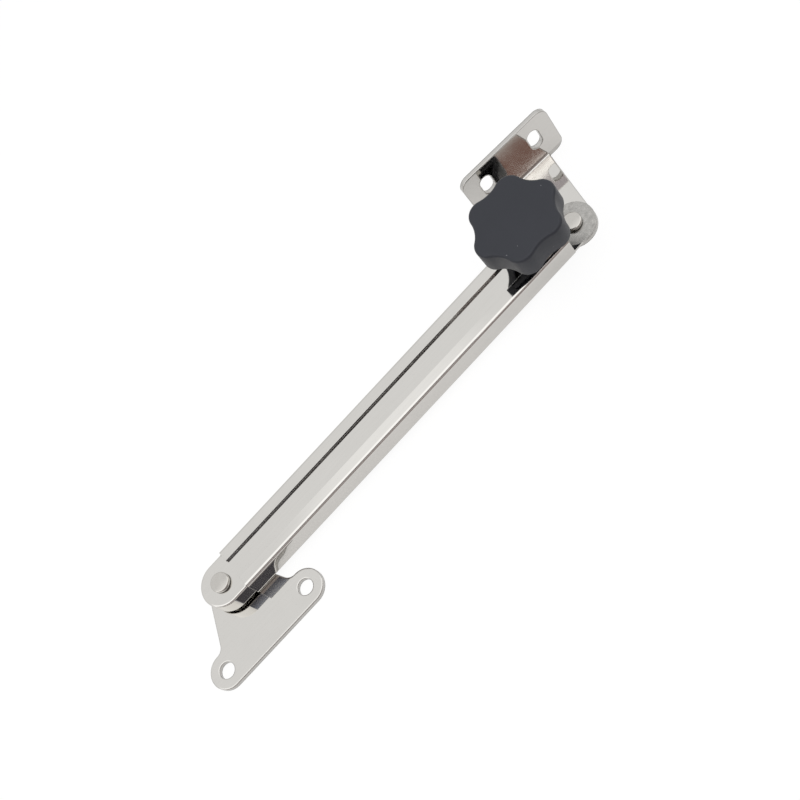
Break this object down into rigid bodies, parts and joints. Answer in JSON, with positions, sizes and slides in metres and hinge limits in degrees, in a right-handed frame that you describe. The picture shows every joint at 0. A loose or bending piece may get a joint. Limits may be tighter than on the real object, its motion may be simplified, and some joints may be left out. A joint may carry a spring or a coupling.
{
  "type": "telescopic lid stay",
  "caption": "Telescopic lid stay: an inner arm slides in a folded rail and a star knob clamps it; a flat plate and an angled bracket pivot at its ends.",
  "frame": {"origin": "middle of the two screw holes of the mounting plate, on the plate's back face", "axes": "+X along the closed stay towards the angle bracket, +Z out of the face that the plate is fixed to, towards the knob"},
  "size_m": [0.2454, 0.0662, 0.0348],
  "materials": {
    "polished_steel": "polished stainless sheet",
    "rivet_steel": "turned stainless steel",
    "knob_plastic": "fine matte charcoal moulding",
    "insert_brass": "turned brass"
  },
  "bodies": {
    "plate": {"mounting_plate": "polished_steel", "lower_rivet": "rivet_steel", "lower_spacer": "rivet_steel"},
    "arm": {"inner_arm": "polished_steel", "clamp_bolt": "rivet_steel"},
    "rail": {"outer_rail": "polished_steel"},
    "bracket": {"angle_bracket": "polished_steel", "upper_rivet": "rivet_steel", "upper_washer": "rivet_steel"},
    "clamp": {"clamp_washer": "rivet_steel"},
    "knob": {"star_knob": "knob_plastic", "knob_insert": "insert_brass"}
  },
  "joints": [
    {"name": "lower_pivot", "type": "hinge", "parent": "plate", "child": "arm", "pos_m": [0, 0.0229, 0], "axis": [0, 0, 1], "continuous": true},
    {"name": "arm_slide", "type": "slide", "parent": "arm", "child": "rail", "axis": [1, 0, 0], "range_m": [0, 0.14]},
    {"name": "upper_pivot", "type": "hinge", "parent": "rail", "child": "bracket", "pos_m": [0.192, 0.0229, 0], "axis": [0, 0, 1], "range_deg": [-216, 44]},
    {"name": "knob_lift", "type": "slide", "parent": "arm", "child": "clamp", "axis": [0, 0, 1], "range_m": [0, 0.002]},
    {"name": "knob_turn", "type": "hinge", "parent": "clamp", "child": "knob", "pos_m": [0.175, 0.0229, 0], "axis": [0, 0, 1], "range_deg": [0, 720]}
  ],
  "couplings": [
    {"joint": "knob_lift", "follows": "knob_turn", "m_per_rad": 0.00015915}
  ]
}
